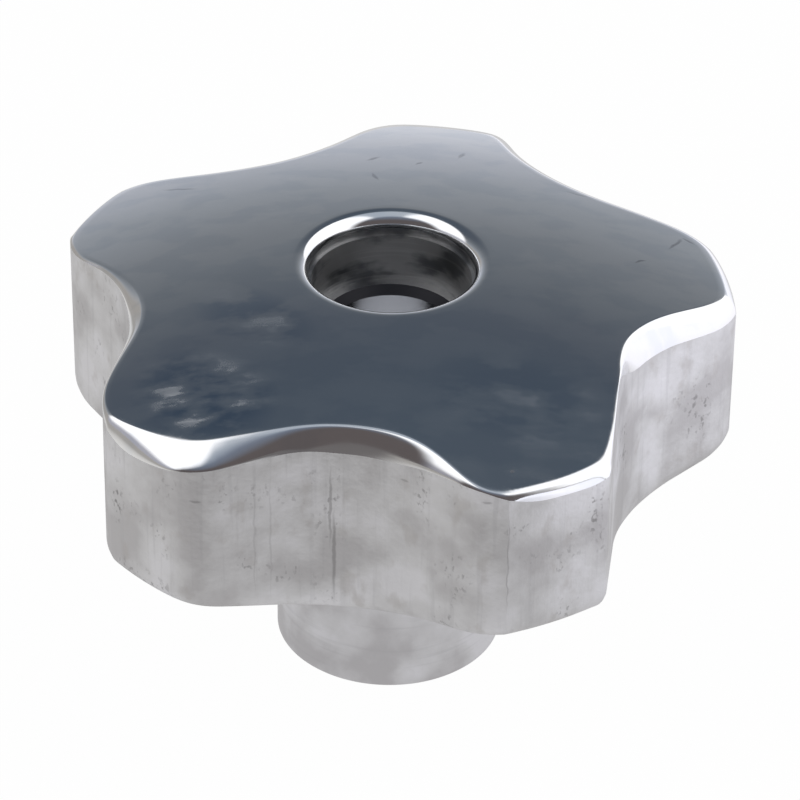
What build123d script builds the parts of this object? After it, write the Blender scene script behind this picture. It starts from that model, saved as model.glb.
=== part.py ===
from build123d import *
from math import atan2, cos, degrees, radians, sqrt, tan
import os

# A five-lobed star knob, cast in aluminium in one piece. Its hub, crown and lobe ends are
# turned, its top is polished, and a stepped bore runs right through it.
# Millimetres, +Z up. The origin is on the bore axis, in the plane of the hub's end face.

# Head in plan
LOBES = 5
HEAD_DIAMETER = 100.0          # turned diameter over the lobe ends
TURNING_ALLOWANCE = 0.6        # cast stock that is turned off each lobe end
LOBE_RADIUS = 11.0             # round of a lobe's two shoulders
SHOULDER_ANGLE = 4.2           # degrees, a lobe's middle to the centre of a shoulder's round
VALLEY_RADIAL = 38.5           # bore axis to the bottom of a valley
FLANK_LENGTH = 4.9             # straight wall between a shoulder and a valley
DRAFT_ANGLE = 0.4              # degrees, the cast walls lean in towards the top

# Head in height
OVERALL_HEIGHT = 64.5          # hub's end face to the highest point, beside the bore
CROWN_RADIUS = 175.0           # sphere of the crowned top
UNDERSIDE_SLOPE = 11.5         # degrees, the underside rises towards the lobes
TOP_EDGE_RADIUS = 3.0          # polished rounding all round the crown
BOTTOM_EDGE_RADIUS = 3.0       # cast rounding of the lower edge

# Hub
HUB_DIAMETER = 33.6
HUB_LENGTH = 25.8              # hub's end face to the underside of the head
HUB_ROOT_RADIUS = 3.0          # fillet between the hub and the head
HUB_EDGE_CHAMFER = 0.3

# Stepped bore
SPINDLE_DIAMETER = 18.0        # through bore for the spindle
FOOT_CHAMFER = 1.0             # countersink of the spindle bore at the hub's end face
MOUTH_CHAMFER = 1.2            # countersink of the spindle bore at the ledge
LEDGE_WIDTH = 2.6              # spindle bore to the recess wall
RECESS_DEPTH = 10.7            # highest point down to the ledge
RELIEF_STEP = 0.4              # the relief above the recess is this much larger all round
RELIEF_DEPTH = 3.2             # highest point down to the end of the relief
RIM_RADIUS = 2.1               # polished rounding of the bore's upper edge

# Worked out from the sizes above
HEAD_RADIUS = HEAD_DIAMETER / 2
CAST_TIP_RADIUS = HEAD_RADIUS + TURNING_ALLOWANCE
HUB_RADIUS = HUB_DIAMETER / 2
SPINDLE_RADIUS = SPINDLE_DIAMETER / 2
RECESS_RADIUS = SPINDLE_RADIUS + LEDGE_WIDTH
RELIEF_RADIUS = RECESS_RADIUS + RELIEF_STEP
SUMMIT_RADIUS = RELIEF_RADIUS + RIM_RADIUS    # the highest ring, over the rim's own centre
CROWN_CENTRE_Z = (
    OVERALL_HEIGHT - RIM_RADIUS - sqrt((CROWN_RADIUS - RIM_RADIUS) ** 2 - SUMMIT_RADIUS**2)
)
LEDGE_Z = OVERALL_HEIGHT - RECESS_DEPTH
RELIEF_Z = OVERALL_HEIGHT - RELIEF_DEPTH
HALF_PITCH = 180.0 / LOBES     # degrees between a lobe and the next valley
SHOULDER_RADIAL = CAST_TIP_RADIUS - LOBE_RADIUS    # bore axis to the centre of a shoulder's round
SHOULDER_ALONG = SHOULDER_RADIAL * cos(radians(HALF_PITCH - SHOULDER_ANGLE))
VALLEY_RADIUS = (              # round of a valley, which leaves the straight flanks their length
    LOBE_RADIUS**2 + FLANK_LENGTH**2 - SHOULDER_RADIAL**2 - VALLEY_RADIAL**2
    + 2 * VALLEY_RADIAL * SHOULDER_ALONG
) / (2 * (VALLEY_RADIAL - SHOULDER_ALONG - LOBE_RADIUS))
OVERRUN = 5.0                  # how far stock and cutters run past the finished faces
REACH = CAST_TIP_RADIUS + OVERRUN


def polar(radius, angle):
    """The point in the plan at this radius and angle."""
    return Vector(radius, 0).rotate(Axis.Z, angle)


def mirrored(point):
    """The point on the other side of the first lobe's middle."""
    return Vector(point.X, -point.Y)


def star_edges(face):
    """The edges of a face that run along the star wall."""
    return face.edges().filter_by(
        lambda edge: min(Vector((edge @ at).X, (edge @ at).Y).length for at in (0, 0.5, 1)) > HUB_DIAMETER
    )


def crown_point(radius):
    """The point of the crowned top at this radius, in the turned profile."""
    return (radius, CROWN_CENTRE_Z + sqrt(CROWN_RADIUS**2 - radius**2))


def star_face():
    """The cast star in plan: lobe ends, round shoulders, straight flanks and round valleys."""
    shoulder = polar(SHOULDER_RADIAL, SHOULDER_ANGLE)
    valley = polar(VALLEY_RADIAL + VALLEY_RADIUS, HALF_PITCH)
    turn = degrees(atan2(FLANK_LENGTH, LOBE_RADIUS + VALLEY_RADIUS))
    flank_way = (valley - shoulder).normalized().rotate(Axis.Z, -turn)
    end_start = polar(CAST_TIP_RADIUS, SHOULDER_ANGLE)
    shoulder_end = shoulder + flank_way * LOBE_RADIUS
    shoulder_middle = shoulder + (polar(1, SHOULDER_ANGLE) + flank_way).normalized() * LOBE_RADIUS
    valley_start = valley - flank_way * VALLEY_RADIUS

    edges = []
    for lobe in range(LOBES):
        pitch = 2 * HALF_PITCH
        near = [end_start, shoulder_middle, shoulder_end, valley_start]
        far = [mirrored(point) for point in near]
        end, middle, corner, foot = (point.rotate(Axis.Z, pitch * lobe) for point in near)
        next_foot, next_corner, next_middle, next_end = (
            point.rotate(Axis.Z, pitch * (lobe + 1)) for point in reversed(far)
        )
        first_end = far[0].rotate(Axis.Z, pitch * lobe)
        edges.append(ThreePointArc(first_end, polar(CAST_TIP_RADIUS, pitch * lobe), end))
        edges.append(ThreePointArc(end, middle, corner))
        edges.append(Line(corner, foot))
        edges.append(ThreePointArc(foot, polar(VALLEY_RADIAL, pitch * lobe + HALF_PITCH), next_foot))
        edges.append(Line(next_foot, next_corner))
        edges.append(ThreePointArc(next_corner, next_middle, next_end))
    return make_face(Wire(edges))


def cast_star():
    """The drafted star wall with the stem of the hub below it, both left long."""
    star = extrude(star_face(), amount=OVERALL_HEIGHT - HUB_LENGTH + OVERRUN, taper=DRAFT_ANGLE)
    stem = Cylinder(
        HUB_RADIUS + HUB_ROOT_RADIUS,
        HUB_LENGTH + 2 * OVERRUN,
        align=(Align.CENTER, Align.CENTER, Align.MIN),
    )
    return Pos(0, 0, HUB_LENGTH) * star + Pos(0, 0, -OVERRUN) * stem


def turned_form():
    """Everything that comes off the lathe: hub, underside, crown and stepped bore."""
    slope_end = HUB_LENGTH + (REACH - HUB_RADIUS) * tan(radians(UNDERSIDE_SLOPE))
    outside = Polyline(
        (SPINDLE_RADIUS + FOOT_CHAMFER, 0),
        (HUB_RADIUS - HUB_EDGE_CHAMFER, 0),
        (HUB_RADIUS, HUB_EDGE_CHAMFER),
        (HUB_RADIUS, HUB_LENGTH),
        (REACH, slope_end),
        crown_point(REACH),
    )
    crown = ThreePointArc(crown_point(REACH), crown_point(HEAD_RADIUS / 2), crown_point(RELIEF_RADIUS))
    inside = Polyline(
        crown_point(RELIEF_RADIUS),
        (RELIEF_RADIUS, RELIEF_Z),
        (RECESS_RADIUS, RELIEF_Z),
        (RECESS_RADIUS, LEDGE_Z),
        (SPINDLE_RADIUS + MOUTH_CHAMFER, LEDGE_Z),
        (SPINDLE_RADIUS, LEDGE_Z - MOUTH_CHAMFER),
        (SPINDLE_RADIUS, FOOT_CHAMFER),
        (SPINDLE_RADIUS + FOOT_CHAMFER, 0),
    )
    profile = make_face([outside, crown, inside])
    root = profile.vertices().sort_by_distance((HUB_RADIUS, HUB_LENGTH, 0))[0]
    profile = fillet(root, HUB_ROOT_RADIUS)
    rim = profile.vertices().sort_by_distance((*crown_point(RELIEF_RADIUS), 0))[0]
    profile = fillet(rim, RIM_RADIUS)
    return Rot(0, 0, HALF_PITCH) * revolve(Plane.XZ * profile, Axis.Z)


def knob_body():
    """The finished knob: cast, turned and rounded, with its lobe ends turned last."""
    body = (cast_star() & turned_form()).solid()
    crown_face = body.faces().filter_by(GeomType.SPHERE)[0]
    body = fillet(star_edges(crown_face), TOP_EDGE_RADIUS).solid()
    underside = body.faces().filter_by(GeomType.CONE).sort_by(SortBy.AREA)[-1]
    body = fillet(star_edges(underside), BOTTOM_EDGE_RADIUS).solid()
    return (body & Rot(0, 0, HALF_PITCH) * Cylinder(HEAD_RADIUS, 4 * OVERALL_HEIGHT)).solid()


os.makedirs("parts", exist_ok=True)
export_step(knob_body(), "parts/knob_body.step")
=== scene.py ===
"""A cast star knob with its polished crown and edges, satin walls, turned hub and turned bore."""

import functools
import logging
import math
from dataclasses import dataclass, field
from enum import IntEnum
from typing import Any

import bpy
import numpy as np
from mathutils import Matrix, Vector


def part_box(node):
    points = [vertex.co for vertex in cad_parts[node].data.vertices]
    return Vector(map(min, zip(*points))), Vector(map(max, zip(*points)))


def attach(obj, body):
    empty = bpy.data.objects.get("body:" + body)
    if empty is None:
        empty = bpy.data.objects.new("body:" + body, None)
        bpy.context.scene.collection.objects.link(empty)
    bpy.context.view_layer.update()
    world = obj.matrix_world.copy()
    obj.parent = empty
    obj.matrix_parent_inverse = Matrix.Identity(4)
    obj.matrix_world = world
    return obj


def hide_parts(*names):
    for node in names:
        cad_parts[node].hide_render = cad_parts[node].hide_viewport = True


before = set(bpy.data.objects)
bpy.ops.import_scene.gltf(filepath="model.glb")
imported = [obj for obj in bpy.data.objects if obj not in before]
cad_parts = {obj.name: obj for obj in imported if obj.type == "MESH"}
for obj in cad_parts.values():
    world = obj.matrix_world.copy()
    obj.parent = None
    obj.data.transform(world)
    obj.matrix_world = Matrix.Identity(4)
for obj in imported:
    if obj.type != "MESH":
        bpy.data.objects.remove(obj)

LOG = logging.getLogger("star_knob")
MM = 0.001
NODE = "knob_body"
BODY = "root"

Span = tuple[float, float]
Triple = tuple[float, float, float]
Stops = tuple[tuple[float, Triple], ...]

WHITE = (1.0, 1.0, 1.0)


class Skin(IntEnum):
    """The finishes of the knob, in the order of its material slots."""

    POLISHED = 0
    CAST = 1
    TURNED = 2
    BORED = 3
    # The mouth chamfer's finish is near black: painted shade deep in the bore.
    MOUTH = 4
    REAMED = 5


# Shader maths ---------------------------------------------


class Signal:
    """A shader socket that carries numbers, with the operators that the finishes use."""

    def __init__(self, shader: "Shader", socket: Any) -> None:
        """Wraps an output socket of a shader."""
        self.shader = shader
        self.socket = socket

    def _math(self, operation: str, *values: Any) -> "Signal":
        """The output of one Math node that is fed with signals or numbers."""
        return self.shader.node("ShaderNodeMath", {"operation": operation}, dict(enumerate(values)))

    def __add__(self, other: Any) -> "Signal":
        """Sum."""
        return self._math("ADD", self, other)

    __radd__ = __add__

    def __sub__(self, other: Any) -> "Signal":
        """Difference."""
        return self._math("SUBTRACT", self, other)

    def __rsub__(self, other: Any) -> "Signal":
        """Difference with a number in front."""
        return self._math("SUBTRACT", other, self)

    def __mul__(self, other: Any) -> "Signal":
        """Product."""
        return self._math("MULTIPLY", self, other)

    __rmul__ = __mul__

    def __truediv__(self, other: Any) -> "Signal":
        """Quotient."""
        return self._math("DIVIDE", self, other)

    def __rtruediv__(self, other: Any) -> "Signal":
        """Quotient with a number in front."""
        return self._math("DIVIDE", other, self)

    def __abs__(self) -> "Signal":
        """Size without its sign."""
        return self._math("ABSOLUTE", self)

    def clamp(self) -> "Signal":
        """The signal held between 0 and 1."""
        return self._math("MINIMUM", self._math("MAXIMUM", self, 0.0), 1.0)

    def larger(self, other: Any) -> "Signal":
        """The larger of two signals."""
        return self._math("MAXIMUM", self, other)

    def ramp(self, low: float, high: float) -> "Signal":
        """A smooth rise from 0 at low to 1 at high, or a fall where low is the larger.

        Args:
            low: the value that gives 0.
            high: the value that gives 1.

        Returns:
            The risen signal.
        """
        ends, made = ((low, high), (0.0, 1.0)) if low < high else ((high, low), (1.0, 0.0))
        names = ("From Min", "From Max", "To Min", "To Max")
        inputs = {"Value": self, **dict(zip(names, ends + made, strict=True))}
        return self.shader.node("ShaderNodeMapRange", {"interpolation_type": "SMOOTHSTEP"}, inputs)


class Shader:
    """A node tree that is emptied and then filled by expressions."""

    def __init__(self, tree: bpy.types.NodeTree) -> None:
        """Takes a material's or the world's node tree and empties it."""
        self.tree = tree
        tree.nodes.clear()

    def node(
        self,
        kind: str,
        settings: dict[str, Any] | None = None,
        inputs: dict[Any, Any] | None = None,
        output: Any = 0,
    ) -> Signal:
        """Any node, with its settings set first and then its inputs.

        Args:
            kind: the node's type.
            settings: attributes of the node; "stops" holds a colour ramp's (place, colour) pairs.
            inputs: socket names or numbers, with the signal or value of each.
            output: the name or number of the socket to hand back.

        Returns:
            The chosen output.
        """
        made = self.tree.nodes.new(kind)
        for name, value in (settings or {}).items():
            if name == "stops":
                self._stops(made.color_ramp, value)
            else:
                setattr(made, name, value)
        for name, value in (inputs or {}).items():
            socket = made.inputs[name]
            if isinstance(value, Signal):
                self.tree.links.new(value.socket, socket)
            else:
                socket.default_value = value
        return Signal(self, made.outputs[output] if len(made.outputs) else None)

    @staticmethod
    def _stops(ramp: bpy.types.ColorRamp, stops: Stops) -> None:
        """Sets a colour ramp's stops.

        Args:
            ramp: the ramp.
            stops: each stop's place and colour.
        """
        while len(ramp.elements) < len(stops):
            ramp.elements.new(0.5)
        for element, (place, colour) in zip(ramp.elements, stops, strict=True):
            element.position = place
            element.color = (*colour, 1.0)

    def mix(self, share: Any, first: Any, second: Any) -> Signal:
        """A blend of two colours.

        Args:
            share: how much of the second colour.
            first: the first colour.
            second: the second colour.

        Returns:
            The blended colour.
        """
        first = (*first, 1.0) if isinstance(first, tuple) else first
        second = (*second, 1.0) if isinstance(second, tuple) else second
        return self.node("ShaderNodeMix", {"data_type": "RGBA"}, {0: share, 6: first, 7: second}, 2)

    def place(self) -> Signal:
        """The point's place in the part's frame, in metres."""
        return self.node("ShaderNodeTexCoord", output="Object")

    def other(self, signal: Signal, output: str) -> Signal:
        """Another output of the node that a signal comes from."""
        return Signal(self, signal.socket.node.outputs[output])

    def dot(self, vector: Signal, axis: Triple) -> Signal:
        """A vector's reach along an axis."""
        return self.vector_math("DOT_PRODUCT", vector, axis, output="Value")

    def vector_math(self, operation: str, *values: Any, output: Any = 0) -> Signal:
        """The output of one Vector Math node that is fed with vectors."""
        inputs = dict(enumerate(values))
        return self.node("ShaderNodeVectorMath", {"operation": operation}, inputs, output)

    def noise(
        self, at: Signal, size: float, detail: float = 4.0, stretch: Triple = (1.0, 1.0, 1.0)
    ) -> Signal:
        """Soft noise.

        Args:
            at: where it is read.
            size: the width of its largest blotches, in metres.
            detail: how many finer layers it has.
            stretch: how much finer it is along each axis.

        Returns:
            Noise round one half.
        """
        moved = self.node("ShaderNodeMapping", inputs={"Vector": at, "Scale": stretch})
        inputs = {"Vector": moved, "Scale": 1.0 / size, "Detail": detail}
        return self.node("ShaderNodeTexNoise", inputs=inputs)

    def ragged(self, at: Signal, reach: float, size: float) -> Signal:
        """A place that wanders a little, which makes the outline of a mark uneven.

        Args:
            at: the place.
            reach: how far it wanders, in metres.
            size: how quickly it wanders, in metres.

        Returns:
            The wandering place.
        """
        wander = self.other(self.noise(at, size, 3.0), "Color")
        level = self.vector_math("SUBTRACT", wander, (0.5, 0.5, 0.5))
        return self.vector_math("MULTIPLY_ADD", level, (reach, reach, reach), at)

    def bump(self, height: Signal, depth: float) -> Signal:
        """A normal roughened by a height, of which 1 stands for a depth in metres."""
        inputs = {"Strength": 1.0, "Distance": depth, "Height": height}
        return self.node("ShaderNodeBump", inputs=inputs)


# Wear, dirt and painted reflection -----------------------------

SPOT_CORE = 0.35


@dataclass(frozen=True)
class Mark:
    """A soft-edged spot in the part's frame, in millimetres and degrees: a mark left by use, and on
    the crown also a patch of painted reflection.
    """

    place: Triple
    turn: float
    size: Triple
    shade: float

    def mask(self, shader: Shader, at: Signal) -> Signal:
        """How strongly the mark shows.

        Args:
            shader: the material's shader.
            at: where it is read.

        Returns:
            Its shade on the spot, falling to nothing at its edge.
        """
        inputs = {
            "Vector": at,
            "Location": tuple(part * MM for part in self.place),
            "Rotation": (0.0, 0.0, math.radians(self.turn)),
            "Scale": tuple(part * MM for part in self.size),
        }
        moved = shader.node("ShaderNodeMapping", {"vector_type": "TEXTURE"}, inputs)
        away = shader.vector_math("LENGTH", moved, output="Value")
        return away.ramp(1.0, SPOT_CORE) * self.shade


def marked(shader: Shader, at: Signal, marks: tuple[Mark, ...]) -> Signal:
    """How strongly the strongest of several marks shows."""
    return functools.reduce(Signal.larger, [mark.mask(shader, at) for mark in marks])


CROWN_SCRATCHES = (
    Mark((43.0, 5.5, 59.6), 54, (2.9, 0.35, 3.0), 0.55),
    Mark((45.3, 7.0, 58.9), -41, (1.3, 0.35, 3.0), 0.5),
    Mark((36.4, -0.7, 61.2), 24, (1.3, 0.3, 3.0), 0.55),
    Mark((-26.9, 30.2, 60.3), -23, (3.4, 0.35, 3.0), 0.4),
    Mark((2.4, 31.6, 62.2), 28, (1.6, 0.5, 3.0), 0.45),
    Mark((1.6, 24.7, 63.3), -82, (1.7, 0.4, 3.0), 0.4),
    Mark((8.8, 28.7, 62.5), 27, (0.9, 0.4, 3.0), 0.45),
    Mark((15.8, 31.6, 61.5), 61, (1.7, 0.4, 3.0), 0.4),
    Mark((36.7, 16.3, 60.2), -35, (5.0, 0.3, 3.0), 0.25),
    Mark((31.3, 18.2, 61.2), -23, (3.2, 0.3, 3.0), 0.25),
    Mark((9.4, -44.9, 59.0), 0, (0.45, 0.45, 3.0), 0.6),
)
# Hazy patches of the crown; inside them the colour is also darkened bluish as painted reflection.
CROWN_SMUDGES_AND_REFLECTIONS = (
    Mark((-30.0, -24.0, 60.0), -45, (14.0, 11.0, 8.0), 1.0),
    Mark((-21.0, -10.0, 62.0), -47, (14.0, 8.0, 8.0), 0.6),
    Mark((12.0, -32.0, 61.0), -20, (18.0, 12.0, 8.0), 0.4),
)
WALL_SCRATCHES = (
    Mark((-14.4, -36.0, 48.5), -19, (0.28, 1.5, 8.0), 0.55),
    Mark((-13.9, -36.1, 40.5), -19, (0.34, 1.5, 9.0), 0.6),
    Mark((-25.0, -35.9, 44.0), 0, (0.2, 1.5, 12.0), 0.22),
    Mark((-22.7, -35.7, 44.3), 0, (0.2, 1.5, 12.0), 0.2),
    Mark((-33.1, -36.1, 51.2), -12, (1.1, 1.5, 0.3), 0.6),
    Mark((-4.7, -40.1, 54.7), -35, (0.9, 1.5, 0.3), 0.45),
    Mark((5.3, -48.5, 55.9), -20, (0.9, 1.5, 0.3), 0.45),
    Mark((8.2, -49.3, 46.0), 8, (0.16, 1.5, 11.5), 0.4),
)
WALL_DIRT = (
    Mark((21.2, -45.2, 50.9), 15, (1.8, 3.0, 6.5), 0.8),
    Mark((-43.0, -25.4, 45.0), 120, (1.6, 3.0, 5.0), 0.9),
    Mark((-39.5, -29.6, 34.5), -53, (8.0, 3.0, 2.5), 0.6),
    Mark((43.1, -13.0, 42.7), 26, (3.5, 3.0, 8.0), 0.7),
    Mark((29.5, -24.8, 45.3), 59, (2.5, 3.0, 6.0), 0.7),
    Mark((-14.2, -36.0, 48.0), -19, (1.6, 3.0, 7.0), 0.6),
    Mark((-45.0, -2.0, 47.0), 90, (5.0, 4.0, 9.0), 0.5),
)


# Finishes -------------------------------------------------

ROUND_LAY = (0.05, 0.05, 1.0)
UPRIGHT_LAY = (1.0, 1.0, 0.05)


@dataclass(frozen=True)
class MetalFinish:
    """A plain bare metal, which the other finishes build on."""

    name: str
    colour: Triple
    roughness: float

    def material(self) -> bpy.types.Material:
        """The finish as a new material.

        Returns:
            The material, with its own node tree.
        """
        made = bpy.data.materials.new(self.name)
        made.use_nodes = True
        made.diffuse_color = (*self.colour, 1.0)
        shader = Shader(made.node_tree)
        inputs = {"Metallic": 1.0, **self.surface(shader)}
        metal = shader.node("ShaderNodeBsdfPrincipled", inputs=inputs)
        shader.node("ShaderNodeOutputMaterial", inputs={"Surface": metal})
        return made

    def surface(self, shader: Shader) -> dict[str, Any]:
        """The metal shader's socket names with their values."""
        return {"Base Color": (*self.colour, 1.0), "Roughness": self.roughness}

    def shaded(self, tint: Triple) -> Triple:
        """The finish's colour under a tint."""
        return tuple(part * share for part, share in zip(self.colour, tint, strict=True))


@dataclass(frozen=True)
class PolishedFinish(MetalFinish):
    """Buffed aluminium: a mirror with cloudy smudges, fine buffing lines and a few scratches;
    darker bluish patches in its colour are painted reflection.
    """

    smear: float = 0.26
    buffing_turn: float = math.radians(-9.75)
    buffing_size: float = 0.9 * MM
    buffing_lay: Triple = (0.06, 1.0, 0.5)
    cloud_size: float = 6 * MM
    cloud_lay: Triple = (0.7, 1.3, 0.4)
    least_smudge_and_reflection: float = 0.15
    # Tint of the patches of painted reflection.
    dark_reflection_tint: Triple = (0.52, 0.62, 0.74)
    scratch_tint: Triple = (0.30, 0.30, 0.32)
    scratch_wander: Span = (0.9 * MM, 2 * MM)
    ripple_size: float = 14 * MM
    ripple_depth: float = 0.05 * MM

    def surface(self, shader: Shader) -> dict[str, Any]:
        """The polished metal's inputs.

        Args:
            shader: the material's shader.

        Returns:
            Socket names with their values.
        """
        at = shader.place()
        turn = {"Vector": at, "Rotation": (0.0, 0.0, -self.buffing_turn)}
        turned = shader.node("ShaderNodeMapping", inputs=turn)
        buffing = shader.noise(turned, self.buffing_size, 3.0, self.buffing_lay).ramp(0.40, 0.66)
        smudge_and_reflection_mask = marked(shader, at, CROWN_SMUDGES_AND_REFLECTIONS).larger(self.least_smudge_and_reflection)
        cloud = shader.noise(turned, self.cloud_size, 8.0, self.cloud_lay)
        # Painted reflection: the colour is darkened bluish in the patches, standing in for the dim
        # sky seen in the cleaner mirror.
        dark = cloud.ramp(0.54, 0.40) * smudge_and_reflection_mask
        pale = (cloud.ramp(0.52, 0.62) + buffing * 0.3) * smudge_and_reflection_mask
        scratches = marked(shader, shader.ragged(at, *self.scratch_wander), CROWN_SCRATCHES)
        colour = shader.mix(dark, self.colour, self.shaded(self.dark_reflection_tint))
        ripples = shader.noise(at, self.ripple_size, 2.0)
        return {
            "Base Color": shader.mix(scratches, colour, self.shaded(self.scratch_tint)),
            "Roughness": self.roughness + pale * self.smear + scratches * 0.2,
            "Normal": shader.bump(ripples, self.ripple_depth),
        }


@dataclass(frozen=True)
class CastFinish(MetalFinish):
    """A fine cast skin: satin, mottled, a little pitted and lined where it was dressed."""

    grain: float = 0.05 * MM
    lay: Triple = UPRIGHT_LAY
    worn: bool = False
    mottle_size: float = 10 * MM
    line_size: float = 1.0 * MM
    grain_size: float = 0.8 * MM
    stain_size: float = 3.2 * MM
    speckle_size: float = 0.75 * MM
    pitted_size: float = 7 * MM
    scratch_wander: Span = (0.7 * MM, 2.5 * MM)
    dull_tint: Triple = (0.80, 0.79, 0.79)
    bright_tint: Triple = (1.16, 1.16, 1.18)
    line_tint: Triple = (0.62, 0.62, 0.63)
    stain_tint: Triple = (0.70, 0.67, 0.64)
    dirt_tint: Triple = (0.26, 0.25, 0.25)

    def surface(self, shader: Shader) -> dict[str, Any]:
        """The cast metal's inputs.

        Args:
            shader: the material's shader.

        Returns:
            Socket names with their values.
        """
        at = shader.place()
        mottle = shader.noise(at, self.mottle_size, 7.0)
        lines = shader.noise(at, self.line_size, 3.0, self.lay)
        layers = [
            (mottle.ramp(0.56, 0.38), self.dull_tint),
            (mottle.ramp(0.52, 0.66) * 0.8, self.bright_tint),
            (lines.ramp(0.52, 0.70) * 0.18, self.line_tint),
        ]
        if self.worn:
            layers += self.wear(shader, at)
        colour: Any = self.colour
        for share, tint in layers:
            colour = shader.mix(share, colour, self.shaded(tint))
        height = shader.noise(at, self.grain_size) + lines * 0.6
        return {
            "Base Color": colour,
            "Roughness": self.roughness + (mottle - 0.5) * 0.15,
            "Normal": shader.bump(height, self.grain),
        }

    def wear(self, shader: Shader, at: Signal) -> list[tuple[Signal, Triple]]:
        """The stains, and the dirt with the scratches.

        Args:
            shader: the material's shader.
            at: where they are read.

        Returns:
            How strongly each shows, with its tint.
        """
        stain = shader.noise(at, self.stain_size, 6.0, (1.0, 1.0, 0.6)).ramp(0.56, 0.72)
        speckle = shader.noise(at, self.speckle_size, stretch=(1.0, 1.0, 0.7)).ramp(0.55, 0.66)
        pitted = shader.noise(at, self.pitted_size, 2.0).ramp(0.54, 0.68)
        dirt = marked(shader, at, WALL_DIRT).larger(pitted * 0.6) * speckle
        scratches = marked(shader, shader.ragged(at, *self.scratch_wander), WALL_SCRATCHES)
        return [(stain * 0.4, self.stain_tint), (dirt.larger(scratches) * 0.75, self.dirt_tint)]


@dataclass(frozen=True)
class BoredFinish(MetalFinish):
    """A bored wall: dull, with the tool's rings and oily blotches."""

    blotch_size: float = 6 * MM
    ring_size: float = 0.7 * MM
    ring_depth: float = 0.02 * MM
    oil_tint: Triple = (0.42, 0.43, 0.45)
    ring_tint: Triple = (1.5, 1.5, 1.5)

    def surface(self, shader: Shader) -> dict[str, Any]:
        """The bored metal's inputs.

        Args:
            shader: the material's shader.

        Returns:
            Socket names with their values.
        """
        at = shader.place()
        blotch = shader.noise(at, self.blotch_size, stretch=(0.8, 0.8, 1.6))
        rings = shader.noise(at, self.ring_size, 2.0, ROUND_LAY)
        oiled = shader.mix(blotch.ramp(0.56, 0.36), self.colour, self.shaded(self.oil_tint))
        ringed = rings.ramp(0.5, 0.7) * 0.3
        return {
            "Base Color": shader.mix(ringed, oiled, self.shaded(self.ring_tint)),
            "Roughness": self.roughness + (blotch - 0.5) * 0.3,
            "Normal": shader.bump(rings, self.ring_depth),
        }


# Shape ----------------------------------------------------


@dataclass(frozen=True)
class Shoulder:
    """One of a lobe's two round shoulders."""

    angle: float
    radius: float
    crisp: bool = True


@dataclass(frozen=True)
class Lobe:
    """One lobe as it was dressed by hand, with the valley that follows it."""

    before: Shoulder
    after: Shoulder
    valley_radial: float
    valley_turn: float


LOBES = (
    Lobe(Shoulder(3.6, 11.1), Shoulder(3.0, 13.7), 38.96, 1.64),
    Lobe(Shoulder(7.8, 5.9), Shoulder(3.5, 11.7), 38.32, -0.03),
    Lobe(Shoulder(4.7, 10.3), Shoulder(2.6, 12.7), 38.34, -0.18),
    Lobe(Shoulder(2.1, 13.1), Shoulder(4.7, 10.0, False), 38.66, 0.26),
    Lobe(Shoulder(3.9, 11.5), Shoulder(6.5, 5.3), 38.38, 0.37),
)


def compass(angles: Any) -> np.ndarray:
    """Unit vectors in plan at angles from +X."""
    return np.stack([np.cos(angles), np.sin(angles)], -1)


@dataclass(frozen=True)
class Ring:
    """One turn of the star wall in plan."""

    points: np.ndarray
    ways: np.ndarray
    lean: np.ndarray
    corners: np.ndarray

    @property
    def angles(self) -> np.ndarray:
        """Each point's angle from +X."""
        return np.arctan2(self.points[:, 1], self.points[:, 0])


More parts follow.
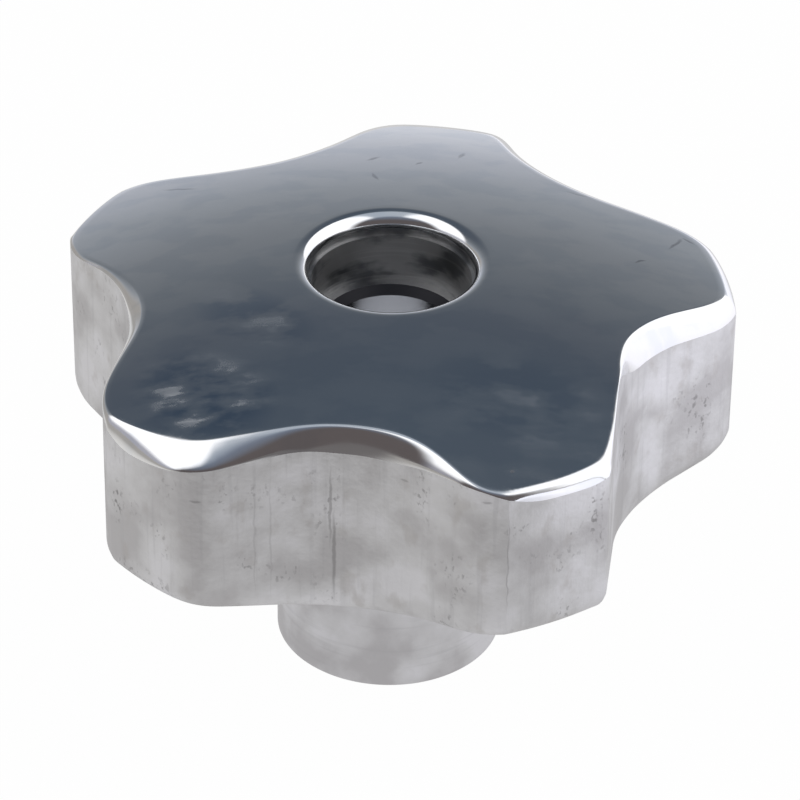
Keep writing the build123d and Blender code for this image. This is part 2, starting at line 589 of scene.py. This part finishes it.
@dataclass(frozen=True)
class StarOutline:
    """The star in plan: turned lobe ends, round shoulders, straight flanks and round valleys."""

    turned_radius: float
    lobes: tuple[Lobe, ...] = LOBES
    turning_allowance: float = 0.6 * MM
    valley_radius: float = 25.5 * MM
    corner_ease: float = 2.0 * MM
    end_steps: int = 5
    corner_steps: int = 5
    shoulder_steps: int = 14
    flank_steps: int = 8
    valley_steps: int = 30

    @property
    def turned_steps(self) -> int:
        """How many stations lie between a lobe's middle and its turned end's corner."""
        return self.end_steps + self.corner_steps

    @property
    def half_steps(self) -> int:
        """How many stations lie between a lobe's middle and a valley's bottom."""
        return self.turned_steps + self.shoulder_steps + self.flank_steps + self.valley_steps

    def _half(
        self, shoulder: Shoulder, valley_radial: float, valley_way: float
    ) -> tuple[np.ndarray, np.ndarray, np.ndarray]:
        """The wall from the middle of a lobe, which lies on +X, to the bottom of a valley.

        Args:
            shoulder: the shoulder that it passes.
            valley_radial: from the bore axis to the bottom of the valley.
            valley_way: the angle of the valley's bottom.

        Returns:
            The points, the outward directions and how much of the draft each point takes.
        """
        tip = self.turned_radius + self.turning_allowance
        start, round_ = math.radians(shoulder.angle), shoulder.radius * MM
        reach = tip - round_
        centre = reach * compass(start)
        valley = (valley_radial + self.valley_radius) * compass(valley_way)
        across = valley - centre
        turn = math.acos((round_ + self.valley_radius) / np.linalg.norm(across))
        flank = math.atan2(across[1], across[0]) - turn
        corner = math.acos((self.turned_radius**2 - reach**2 - round_**2) / (2 * reach * round_))
        end = self._fan(0.0, start, self.end_steps)
        shaved = self._fan(start, start + corner, self.corner_steps)
        rounded = self._fan(start + corner, flank, self.shoulder_steps)
        way = compass(flank)
        valley_ways = compass(np.linspace(flank, valley_way, self.valley_steps + 1))
        flank_start, flank_end = centre + round_ * way, valley - self.valley_radius * way
        share = np.arange(self.flank_steps)[:, None] / self.flank_steps
        points = np.concatenate(
            [
                tip * end,
                centre + round_ * shaved,
                centre + round_ * rounded,
                flank_start + (flank_end - flank_start) * share,
                valley - self.valley_radius * valley_ways,
            ]
        )
        flank_ways = np.repeat(way[None], self.flank_steps, 0)
        ways = np.concatenate([end, shaved, rounded, flank_ways, valley_ways])
        past_end = np.arange(len(points)) - self.turned_steps
        return points, ways, np.clip(past_end / self.shoulder_steps, 0.0, 1.0)

    @staticmethod
    def _fan(first: float, last: float, steps: int) -> np.ndarray:
        """Unit vectors from one angle up to the next, without the last one."""
        return compass(np.linspace(first, last, steps, endpoint=False))

    def ring(self) -> Ring:
        """The wall's foot line, with its lobe ends turned.

        Returns:
            The whole turn, station by station.
        """
        pitch, flip = 2 * math.pi / len(self.lobes), np.array([1.0, -1.0])
        points, ways, lean = [], [], []
        for place, lobe in enumerate(self.lobes):
            last = self.lobes[place - 1]
            turn_before, turn_after = math.radians(last.valley_turn), math.radians(lobe.valley_turn)
            before = self._half(lobe.before, last.valley_radial * MM, pitch / 2 - turn_before)
            after = self._half(lobe.after, lobe.valley_radial * MM, pitch / 2 + turn_after)
            turn = compass(pitch * place + np.array([0.0, math.pi / 2]))
            points += [before[0][:0:-1] * flip @ turn, after[0][:-1] @ turn]
            ways += [before[1][:0:-1] * flip @ turn, after[1][:-1] @ turn]
            lean += [before[2][:0:-1], after[2][:-1]]
        points = np.concatenate(points)
        reach = np.linalg.norm(points, axis=1)
        points *= np.minimum(1.0, self.turned_radius / reach)[:, None]
        corners, rubbed = [], eased(points, self.corner_ease)
        for place, lobe in enumerate(self.lobes):
            tip = self.half_steps * (1 + 2 * place)
            for side, shoulder in ((-1, lobe.before), (1, lobe.after)):
                corner = tip + side * self.turned_steps
                if shoulder.crisp:
                    corners.append(corner)
                    continue
                away = np.linalg.norm(points - points[corner], axis=1) / (3 * self.corner_ease)
                points = points + np.exp(-(away**2))[:, None] * (rubbed - points)
        return Ring(points, np.concatenate(ways), np.concatenate(lean), np.array(corners))


@dataclass(frozen=True)
class EdgeMark:
    """The section of the hand-ground top edge at one angle.

    The section runs from the crown down to the wall. Its knee is the sharp edge, drawn back
    towards the crown and down towards the wall by these shares, and the tighter it is, the
    closer the section keeps to its knee.
    """

    angle: float
    inset: float
    drop: float
    back: float = 0.12
    down: float = 0.12
    tight: float = 0.85


EDGE_MARKS = tuple(
    EdgeMark(*sizes)
    for sizes in (
        (0, 2.0, 2.5), (36, 2.5, 2.5), (108, 2.5, 2.5), (124, 1.2, 1.2), (136, 0.4, 0.4),
        (150, 0.3, 0.3), (160, 0.4, 0.4, 0.4, 0.1), (168, 0.8, 0.7, 0.3, 0.2),
        (174, 1.5, 1.3, 0.1, 0.4), (180, 2.0, 1.8, 0.1, 0.5), (187, 1.9, 1.6, 0.1, 0.5),
        (194, 0.8, 0.7, 0.2, 0.3), (200, 0.25, 0.3), (206, 0.4, 0.6), (212, 1.4, 3.2),
        (217, 2.2, 3.0, 0.1, 0.2), (221, 2.8, 2.6, 0.0, 0.45), (226, 3.3, 1.9, 0.0, 0.75),
        (231, 2.9, 2.2, 0.0, 0.65), (235, 2.2, 2.6, 0.0, 0.48), (238, 1.8, 2.6, 0.1, 0.33),
        (242, 1.6, 2.7, 0.5, 0.12), (250, 1.4, 3.4, 0.6, 0.06, 0.8),
        (256, 1.5, 3.4, 0.5, 0.08, 0.75), (261, 1.8, 3.4, 0.3, 0.15, 0.65),
        (266, 1.7, 2.5, 0.25, 0.2, 0.6), (270, 1.1, 1.4, 0.2, 0.2, 0.6), (274, 0.2, 0.3),
        (278, 0.25, 0.4), (284, 0.55, 1.6, 0.4, 0.1, 0.75), (290, 0.6, 1.6, 0.45, 0.1, 0.75),
        (296, 0.9, 1.9, 0.4, 0.15, 0.75), (300, 0.5, 1.0, 0.3, 0.1), (304, 0.12, 0.25),
        (316, 0.15, 0.4), (320, 0.8, 2.4, 0.1, 0.3), (326, 1.6, 4.2, 0.2, 0.45),
        (334, 1.5, 4.2, 0.2, 0.5), (342, 1.3, 3.8, 0.2, 0.45), (350, 1.5, 2.6, 0.1, 0.3),
    )
)


@dataclass(frozen=True)
class Dip:
    """A place where the crown was buffed lower, in millimetres."""

    angle: float = 291.0
    radial: float = 50.0
    depth: float = 1.1
    reach: float = 14.0

    def depths(self, flat: np.ndarray) -> np.ndarray:
        """How deep it is at points of the plan.

        Args:
            flat: the points, in metres.

        Returns:
            The depths, in metres.
        """
        middle = self.radial * MM * compass(math.radians(self.angle))
        away = np.linalg.norm(flat - middle, axis=1) / (self.reach * MM)
        return self.depth * MM * np.exp(-(away**2))


def between(steps: int) -> np.ndarray:
    """The shares of a way at which the inner ones of its steps end."""
    return np.linspace(0.0, 1.0, steps + 1)[1:-1]


def conic(
    first: np.ndarray, corner: np.ndarray, last: np.ndarray, weight: Any, steps: int
) -> list[np.ndarray]:
    """A rounding between two rings.

    Args:
        first: the ring where it starts.
        corner: the ring of the sharp edge that it rounds.
        last: the ring where it ends.
        weight: how closely it follows the sharp edge, up to 1.
        steps: how many strips it has.

    Returns:
        Its rings.
    """
    rows = []
    for t in np.linspace(0.0, 1.0, steps + 1):
        parts = (1 - t) ** 2, 2 * t * (1 - t) * weight, t**2
        rows.append((parts[0] * first + parts[1] * corner + parts[2] * last) / sum(parts))
    return rows


EASE_STATIONS = 4000


def eased(loop: np.ndarray, reach: float) -> np.ndarray:
    """A closed line with its corners rubbed down.

    Args:
        loop: the line's points.
        reach: how far along the line each point is shared out.

    Returns:
        The rubbed line's points, station for station.
    """
    steps = np.linalg.norm(np.roll(loop, -1, axis=0) - loop, axis=1)
    places = np.concatenate([[0.0], np.cumsum(steps)])
    length = places[-1]
    even = np.linspace(0.0, length, EASE_STATIONS, endpoint=False)
    gap = np.minimum(even, length - even)
    share = np.fft.rfft(np.exp(-0.5 * (gap / reach) ** 2))
    share /= share[0]
    rubbed = []
    for line in loop.T:
        waves = np.fft.rfft(np.interp(even, places, np.append(line, line[0])))
        spread = np.fft.irfft(waves * share, EASE_STATIONS)
        rubbed.append(np.interp(places[:-1], even, spread, period=length))
    return np.stack(rubbed, -1)


@dataclass
class SkinRows:
    """Rings of points that are sewn into one closed skin."""

    stations: int
    rows: list[np.ndarray] = field(default_factory=list)
    skins: list[Skin] = field(default_factory=list)
    crisp: list[bool] = field(default_factory=list)

    def add(self, row: np.ndarray, skin: Skin, crisp: bool = False) -> None:
        """Adds a ring.

        Args:
            row: its points.
            skin: the finish from this ring to the next.
            crisp: whether the ring is an edge that shows.
        """
        self.rows.append(row)
        self.skins.append(skin)
        self.crisp.append(crisp)

    def mesh(self, name: str, crisp_uprights: np.ndarray, upright_rows: range) -> bpy.types.Mesh:
        """Sews the rings, the last one to the first.

        Args:
            name: the mesh's name.
            crisp_uprights: stations whose upright edges show.
            upright_rows: the rings between which they show.

        Returns:
            The mesh.
        """
        count, width = len(self.rows), self.stations
        index = np.arange(count * width).reshape(count, width)
        after = np.roll(index, -1, axis=0)
        quads = np.stack(
            [index, after, np.roll(after, -1, axis=1), np.roll(index, -1, axis=1)], axis=-1
        ).reshape(-1, 4)
        made = bpy.data.meshes.new(name)
        made.from_pydata(np.concatenate(self.rows), [], quads)
        slots = np.repeat(np.array(self.skins, np.int32), width)
        made.polygons.foreach_set("material_index", slots)
        made.polygons.foreach_set("use_smooth", np.ones(len(quads), bool))
        ends = np.empty(len(made.edges) * 2, np.int32)
        made.edges.foreach_get("vertices", ends)
        ends = ends.reshape(-1, 2)
        row, station = ends // width, ends % width
        along = (row[:, 0] == row[:, 1]) & np.array(self.crisp)[row[:, 0]]
        upright = (station[:, 0] == station[:, 1]) & np.isin(station[:, 0], crisp_uprights)
        low, high = upright_rows[0], upright_rows[-1]
        upright &= (row.min(1) >= low) & (row.max(1) <= high)
        sharp = made.attributes.new("sharp_edge", "BOOLEAN", "EDGE")
        sharp.data.foreach_set("value", along | upright)
        made.update()
        return made


@dataclass
class SteppedBore:
    """The bore: a spindle hole, a ledge, a recess and the relief under the polished rim."""

    height: float
    spindle_radius: float = 9.0 * MM
    foot_chamfer: float = 1.0 * MM
    mouth_chamfer: float = 1.2 * MM
    ledge_width: float = 2.6 * MM
    recess_depth: float = 10.7 * MM
    relief_step: float = 0.4 * MM
    relief_depth: float = 3.2 * MM
    rim_radius: float = 2.1 * MM
    corner_guard: float = 0.02 * MM
    rim_steps: int = 14
    hole_steps: int = 5
    recess_steps: int = 7

    @property
    def relief_radius(self) -> float:
        """The widest part of the bore."""
        return self.spindle_radius + self.ledge_width + self.relief_step

    @property
    def summit_radius(self) -> float:
        """The ring round the bore where the knob is highest."""
        return self.relief_radius + self.rim_radius

    def lines(self, crown_centre: float) -> list[tuple[float, float, Skin, bool]]:
        """The bore's rings from its foot up over the rim.

        Args:
            crown_centre: the height of the crown's centre.

        Returns:
            Each ring's radius, height, finish and whether it shows.
        """
        spindle, recess = self.spindle_radius, self.relief_radius - self.relief_step
        ledge, relief = self.height - self.recess_depth, self.height - self.relief_depth
        hole = np.linspace(self.foot_chamfer, ledge - self.mouth_chamfer, self.hole_steps + 1)
        made = [(spindle, z, Skin.REAMED, z == self.foot_chamfer) for z in hole[:-1]]
        made += [
            # From this ring up to the ledge, the near-black finish is painted shade in the bore.
            (spindle, hole[-1], Skin.MOUTH, True),
            (spindle + self.mouth_chamfer, ledge, Skin.BORED, True),
            (recess - self.corner_guard, ledge, Skin.BORED, False),
            (recess, ledge, Skin.BORED, True),
        ]
        wall = np.linspace(ledge, relief, self.recess_steps + 1)[1:-1]
        made += [(recess, z, Skin.BORED, False) for z in wall]
        made += [(radius, relief, Skin.BORED, True) for radius in (recess, self.relief_radius)]
        centre = np.array([self.summit_radius, self.height - self.rim_radius])
        lean = math.atan2(centre[0], centre[1] - crown_centre)
        for angle in np.linspace(math.pi, math.pi / 2 - lean, self.rim_steps + 1):
            place = centre + self.rim_radius * compass(angle)
            made.append((place[0], place[1], Skin.POLISHED, angle == math.pi))
        return made


@dataclass
class Hub:
    """The hub below the head, turned, with a fillet up into the underside."""

    length: float = 25.8 * MM
    radius: float = 16.8 * MM
    root_radius: float = 3.0 * MM
    edge_chamfer: float = 0.3 * MM
    root_steps: int = 8
    barrel_steps: int = 5

    def lines(self, slope: float, bore_foot: float) -> list[tuple[float, float, Skin, bool]]:
        """The hub's rings from the underside down to the bore.

        Args:
            slope: how steeply the underside rises.
            bore_foot: the radius of the bore's countersink in the end face.

        Returns:
            Each ring's radius, height, finish and whether it shows.
        """
        tangent = self.root_radius * math.tan((math.pi / 2 - slope) / 2)
        centre = np.array([self.radius + self.root_radius, self.length - tangent])
        made = []
        for angle in np.linspace(math.pi / 2 + slope, math.pi, self.root_steps + 1):
            place = centre + self.root_radius * compass(angle)
            made.append((place[0], place[1], Skin.TURNED, False))
        barrel = np.linspace(made[-1][1], self.edge_chamfer, self.barrel_steps + 1)[1:-1]
        made += [(self.radius, z, Skin.TURNED, False) for z in barrel]
        made.append((self.radius, self.edge_chamfer, Skin.TURNED, True))
        made.append((self.radius - self.edge_chamfer, 0.0, Skin.TURNED, True))
        made.append((bore_foot, 0.0, Skin.BORED, True))
        return made


@dataclass
class StarHead:
    """The head: a drafted star wall under a crowned and polished top, rounded at both edges."""

    outline: StarOutline
    hub: Hub
    height: float
    crown_radius: float = 175.0 * MM
    draft: float = math.radians(0.4)
    underside_slope: float = math.radians(11.5)
    bottom_edge: float = 3.0 * MM
    edge_marks: tuple[EdgeMark, ...] = EDGE_MARKS
    dip: Dip = Dip()
    edge_ease: float = 1.8 * MM
    crown_steps: int = 34
    edge_steps: int = 14
    wall_steps: int = 12
    foot_steps: int = 6
    underside_steps: int = 12

    def crown_centre(self, bore: SteppedBore) -> float:
        """The height of the crown's centre, which puts the highest ring at the knob's height."""
        arm = self.crown_radius - bore.rim_radius
        return self.height - bore.rim_radius - math.sqrt(arm**2 - bore.summit_radius**2)

    def on_crown(self, flat: np.ndarray, centre_z: float) -> np.ndarray:
        """Points of the plan lifted to the crown."""
        rise = np.sqrt(self.crown_radius**2 - (flat**2).sum(1))
        return np.column_stack([flat, centre_z + rise - self.dip.depths(flat)])

    def on_underside(self, flat: np.ndarray) -> np.ndarray:
        """Points of the plan dropped to the underside."""
        rise = (np.linalg.norm(flat, axis=1) - self.hub.radius) * math.tan(self.underside_slope)
        return np.column_stack([flat, self.hub.length + rise])

    def on_wall(self, ring: Ring, z: np.ndarray) -> np.ndarray:
        """The wall's points at these heights, with its draft."""
        lean = (z - self.hub.length) * math.tan(self.draft) * ring.lean
        return np.column_stack([ring.points - lean[:, None] * ring.ways, z])

    def edge_sizes(self, ring: Ring) -> list[np.ndarray]:
        """The sizes of the edge's section at each station, eased from mark to mark.

        Args:
            ring: the wall in plan.

        Returns:
            The insets, drops, backs, downs and tights.
        """
        way = [mark.angle for mark in self.edge_marks]
        near = np.degrees(ring.angles) + np.arange(-2, 3)[:, None]
        sizes = []
        for name in ("inset", "drop", "back", "down", "tight"):
            size = [getattr(mark, name) for mark in self.edge_marks]
            sizes.append(np.interp(near, way, size, period=360).mean(axis=0)[:, None])
        return sizes

    def edge_rows(self, ring: Ring, centre_z: float) -> list[np.ndarray]:
        """The polished edge from the crown down to the wall.

        Args:
            ring: the wall in plan.
            centre_z: the height of the crown's centre.

        Returns:
            Its rings.
        """
        inset, drop, back, down, tight = self.edge_sizes(ring)
        top = self.on_wall(ring, self.on_crown(ring.points, centre_z)[:, 2])[:, :2]
        first = self.on_crown(eased(top - inset * MM * ring.ways, self.edge_ease), centre_z)
        corner = self.on_crown(eased(top, self.edge_ease), centre_z)
        last = self.on_wall(ring, corner[:, 2] - drop[:, 0] * MM)
        knee = corner + back * (first - corner) + down * (last - corner)
        return conic(first, knee, last, tight, self.edge_steps)

    def foot_rows(self, ring: Ring) -> list[np.ndarray]:
        """The cast rounding from the wall in to the underside.

        Args:
            ring: the wall in plan.

        Returns:
            Its rings.
        """
        slope = self.underside_slope
        corner = self.on_underside(ring.points)
        outward = compass(ring.angles)
        down = np.column_stack([outward * math.sin(slope), np.full(len(outward), -math.cos(slope))])
        swing = np.arccos(np.clip((down[:, :2] * ring.ways).sum(1), -1, 1))
        reach = self.bottom_edge * np.tan(swing / 2)
        first = self.on_wall(ring, corner[:, 2] + reach)
        last = self.on_underside(ring.points - reach[:, None] * ring.ways)
        return conic(first, corner, last, np.cos(swing / 2)[:, None], self.foot_steps)

    def crown_rows(self, inner: np.ndarray, outer: np.ndarray, centre_z: float) -> list[np.ndarray]:
        """The crown's rings between the one at the bore's rim and the one at the edge."""
        start, way = inner[:, :2], outer[:, :2] - inner[:, :2]
        return [self.on_crown(start + way * t, centre_z) for t in between(self.crown_steps)]

    def wall_rows(self, ring: Ring, top: np.ndarray, foot: np.ndarray) -> list[np.ndarray]:
        """The wall's rings between the one under the top edge and the one over the foot."""
        start, way = top[:, 2], foot[:, 2] - top[:, 2]
        return [self.on_wall(ring, start + way * t) for t in between(self.wall_steps)]

    def underside_rows(self, outer: np.ndarray, inner_radius: float) -> list[np.ndarray]:
        """The underside's rings from the one at the rounded edge in to the hub's fillet.

        Args:
            outer: the ring at the rounded edge.
            inner_radius: where the hub's fillet starts.

        Returns:
            The rings between the two.
        """
        flat = outer[:, :2]
        way = flat * (inner_radius / np.linalg.norm(flat, axis=1)[:, None] - 1.0)
        return [self.on_underside(flat + way * t) for t in between(self.underside_steps)]


@dataclass
class StarKnob:
    """The whole knob, sewn as one skin from its head, hub and bore."""

    lowest: Vector
    highest: Vector
    name: str = "star_knob"

    def __post_init__(self) -> None:
        """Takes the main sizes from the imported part."""
        self.height = self.highest.z - self.lowest.z
        self.outline = StarOutline(turned_radius=self.highest.x)
        self.bore = SteppedBore(self.height)
        self.hub = Hub()
        self.head = StarHead(self.outline, self.hub, self.height)

    def build(self) -> bpy.types.Object:
        """Builds the knob.

        Returns:
            The knob, riding the part's one body in place of its plain solid.
        """
        head, bore = self.head, self.bore
        centre_z = head.crown_centre(bore)
        ring = self.outline.ring()
        edge = head.edge_rows(ring, centre_z)
        foot = head.foot_rows(ring)
        angles = ring.angles

        def round_row(radius: float, z: float) -> np.ndarray:
            """A round ring at the outline's stations."""
            return np.column_stack([radius * compass(angles), np.full(len(angles), z)])

        rows = SkinRows(len(angles))
        for radius, z, skin, crisp in bore.lines(centre_z):
            rows.add(round_row(radius, z), skin, crisp)
        for row in head.crown_rows(rows.rows[-1], edge[0], centre_z) + edge[:-1]:
            rows.add(row, Skin.POLISHED)
        wall_start = len(rows.rows)
        rows.add(edge[-1], Skin.CAST, True)
        lines = self.hub.lines(head.underside_slope, bore.spindle_radius + bore.foot_chamfer)
        cast = head.wall_rows(ring, edge[-1], foot[0]) + foot
        for row in cast + head.underside_rows(foot[-1], lines[0][0]):
            rows.add(row, Skin.CAST)
        for radius, z, skin, crisp in lines:
            rows.add(round_row(radius, z), skin, crisp)
        wall = range(wall_start, wall_start + head.wall_steps + 1)
        mesh = rows.mesh(self.name, ring.corners, wall)
        knob = bpy.data.objects.new(self.name, mesh)
        bpy.context.scene.collection.objects.link(knob)
        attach(knob, BODY)
        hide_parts(NODE)
        return knob

    def dress(self, knob: bpy.types.Object) -> None:
        """Gives the knob its finishes.

        Args:
            knob: the built knob.
        """
        finishes = {
            Skin.POLISHED: PolishedFinish("polished_aluminium", (0.955, 0.96, 0.965), 0.09),
            Skin.CAST: CastFinish("satin_cast_aluminium", (0.80, 0.80, 0.81), 0.42, worn=True),
            Skin.TURNED: CastFinish(
                "turned_aluminium", (0.77, 0.77, 0.79), 0.38, 0.02 * MM, ROUND_LAY
            ),
            # The bored finish's colour is set darker: painted shade for the inside of the bore.
            Skin.BORED: BoredFinish("shade_darkened_bored_aluminium", (0.52, 0.52, 0.52), 0.46),
            # Near-black colour: painted shade on the mouth chamfer inside the bore.
            Skin.MOUTH: MetalFinish("painted_shade_chamfer", (0.04, 0.04, 0.045), 0.5),
            Skin.REAMED: MetalFinish("reamed_aluminium", (0.85, 0.86, 0.88), 0.12),
        }
        for skin in Skin:
            knob.data.materials.append(finishes[skin].material())
            LOG.info("%s: %s", skin.name.lower(), finishes[skin].name)


# Studio ---------------------------------------------------


@dataclass
class Studio:
    """A pale floor, a soft sky of light and the camera."""

    facing: float = math.radians(9.75)
    target: Triple = (1.40 * MM, 0.0, 40.16 * MM)
    distance: float = 645.2 * MM
    elevation: float = math.radians(34.78)
    roll: float = 0.011
    focal_length: float = 198.1
    sensor_width: float = 36.0
    clip: Span = (0.01, 20.0)
    floor_size: float = 6.0
    floor_colour: Triple = (0.95, 0.95, 0.95)
    floor_glow: float = 0.985
    sheet_depth: Span = (-0.35, -0.05)
    sheet_width: float = 0.60
    sheet_bend: Span = (0.1, 0.6)
    bend_depth: float = 0.6
    sheet: Stops = (
        (0.0, (0.36, 0.345, 0.33)),
        (0.25, (0.68, 0.67, 0.66)),
        (0.63, (0.61, 0.605, 0.61)),
        (0.74, (1.02, 1.01, 1.08)),
        (1.0, (1.06, 1.06, 1.14)),
    )
    table_tone: Triple = (0.14, 0.13, 0.13)
    room_tone: Triple = (0.107, 0.093, 0.093)
    high_room_tone: Triple = (0.17, 0.20, 0.26)
    light_tone: Triple = (1.15, 1.15, 1.17)
    zenith_tone: Triple = (0.39, 0.43, 0.49)
    low_left_tone: Triple = (0.38, 0.38, 0.43)
    far_left_tone: Triple = (0.34, 0.325, 0.31)
    light_near: float = -0.48
    near_swing: float = -0.12
    near_soft: Span = (-0.12, 0.12)
    light_far: float = 0.27
    far_swing: float = 0.60
    far_soft: Span = (-0.06, 0.06)
    zenith_middle: float = 0.06
    zenith_soft: Span = (0.18, 0.32)
    backdrop: Stops = (
        (0.0, (0.66, 0.68, 0.74)),
        (0.17, (0.41, 0.43, 0.48)),
        (0.31, (0.265, 0.285, 0.315)),
        (0.44, (0.185, 0.20, 0.22)),
        (0.56, (0.125, 0.14, 0.16)),
        (0.67, (0.080, 0.094, 0.117)),
        (0.77, (0.067, 0.084, 0.109)),
        (0.87, (0.070, 0.089, 0.115)),
        (1.0, (0.10, 0.12, 0.15)),
    )

    def place(self, vector: Triple | Vector) -> Vector:
        """A vector of right, away from the camera and up, turned into the part's frame."""
        return Matrix.Rotation(-self.facing, 3, "Z") @ Vector(vector)

    def build(self) -> None:
        """Lays the floor, lights the knob and sets the camera up."""
        self._floor()
        self._sky()
        self._camera()

    def _floor(self) -> None:
        """The floor: plain white to look at, with the knob's shadow, and dim far in front."""
        half = self.floor_size / 2
        mesh = bpy.data.meshes.new("floor")
        corners = [(-half, -half, 0), (half, -half, 0), (half, half, 0), (-half, half, 0)]
        mesh.from_pydata(corners, [], [(0, 1, 2, 3)])
        floor = bpy.data.objects.new("floor", mesh)
        bpy.context.scene.collection.objects.link(floor)
        paint = bpy.data.materials.new("pale_floor")
        paint.use_nodes = True
        shader = Shader(paint.node_tree)
        right, away, _ = self._square(shader, shader.place())
        across = right / self.sheet_width + 0.5
        sheet = shader.node("ShaderNodeValToRGB", {"stops": self.sheet}, {0: across})
        front = away + abs(right).ramp(*self.sheet_bend) * self.bend_depth
        tone = shader.mix(front.ramp(*self.sheet_depth), self.table_tone, sheet)
        seen = shader.node("ShaderNodeLightPath", output="Is Camera Ray")
        tone = shader.mix(seen, tone, WHITE)
        glossy = shader.other(seen, "Is Glossy Ray")
        through = shader.other(seen, "Is Transmission Ray")
        share = (seen + glossy + through).clamp() * self.floor_glow
        lit = shader.node("ShaderNodeBsdfDiffuse", inputs={"Color": (*self.floor_colour, 1.0)})
        white = shader.node("ShaderNodeEmission", inputs={"Color": tone, "Strength": 1.0})
        both = shader.node("ShaderNodeMixShader", inputs={0: share, 1: lit, 2: white})
        shader.node("ShaderNodeOutputMaterial", inputs={"Surface": both})
        mesh.materials.append(paint)

    def _square(self, shader: Shader, vector: Signal) -> tuple[Signal, Signal, Signal]:
        """A vector's parts as the camera stands: right, away and up."""
        axes = (self.place(tuple(axis)) for axis in Matrix.Identity(3))
        return tuple(shader.dot(vector, tuple(axis)) for axis in axes)

    def _sky(self) -> None:
        """The room: soft light from left to right overhead, dim before it and behind it."""
        world = bpy.data.worlds.new("studio_light")
        world.use_nodes = True
        shader = Shader(world.node_tree)
        way = shader.node("ShaderNodeTexCoord", output="Generated")
        right, away, up = self._square(shader, way)
        left = right * -1.0
        behind = shader.node("ShaderNodeValToRGB", {"stops": self.backdrop}, {0: up})
        far_left = left.ramp(0.35, 0.65) * up.ramp(0.35, 0.15)
        behind = shader.mix(far_left, behind, self.far_left_tone)
        before = shader.mix(up.ramp(0.45, 0.95), self.room_tone, self.high_room_tone)
        room = shader.mix(away.ramp(0.25, -0.15), behind, before)
        near = right.ramp(0.0, 0.8) * self.near_swing + self.light_near
        far = right.ramp(0.25, 0.75) * self.far_swing + self.light_far
        across = (away - near).ramp(*self.near_soft) * (far - away).ramp(*self.far_soft)
        sides = abs(right - self.zenith_middle).ramp(*self.zenith_soft)
        low_left = left.ramp(0.3, 0.6) * up.ramp(0.40, 0.12)
        light = shader.mix(sides, self.zenith_tone, self.light_tone)
        light = shader.mix(low_left, light, self.low_left_tone)
        tone = shader.mix(across, room, light)
        seen = shader.node("ShaderNodeLightPath", output="Is Camera Ray")
        tone = shader.mix(seen, tone, WHITE)
        lit = shader.node("ShaderNodeBackground", inputs={"Color": tone, "Strength": 1.0})
        shader.node("ShaderNodeOutputWorld", inputs={"Surface": lit})
        bpy.context.scene.world = world

    def _camera(self) -> None:
        """The camera, a long lens looking down at the knob from the front."""
        back = Vector((0.0, -math.cos(self.elevation), math.sin(self.elevation)))
        place = Vector(self.target) + back * self.distance
        right = Vector((1.0, 0.0, 0.0))
        up = right.cross(-back)
        across = right * math.cos(self.roll) + up * math.sin(self.roll)
        upward = up * math.cos(self.roll) - right * math.sin(self.roll)
        axes = [self.place(axis) for axis in (across, upward, back)]
        pose = Matrix(axes).transposed().to_4x4()
        pose.translation = self.place(place)
        lens = bpy.data.cameras.new("camera")
        lens.lens = self.focal_length
        lens.sensor_width = self.sensor_width
        lens.clip_start, lens.clip_end = self.clip
        camera = bpy.data.objects.new("camera", lens)
        camera.matrix_world = pose
        bpy.context.scene.collection.objects.link(camera)
        bpy.context.scene.camera = camera


def main() -> None:
    """Builds and dresses the knob, then the studio round it."""
    logging.basicConfig(level=logging.INFO, format="%(name)s: %(message)s")
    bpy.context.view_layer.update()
    knob = StarKnob(*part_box(NODE))
    shown = knob.build()
    knob.dress(shown)
    LOG.info("%s: %d faces, %d finishes", shown.name, len(shown.data.polygons), len(Skin))
    Studio().build()
    LOG.info("floor, light and camera are in place")
    bpy.context.scene.view_settings.view_transform = "Standard"


if __name__ == "__main__":
    main()
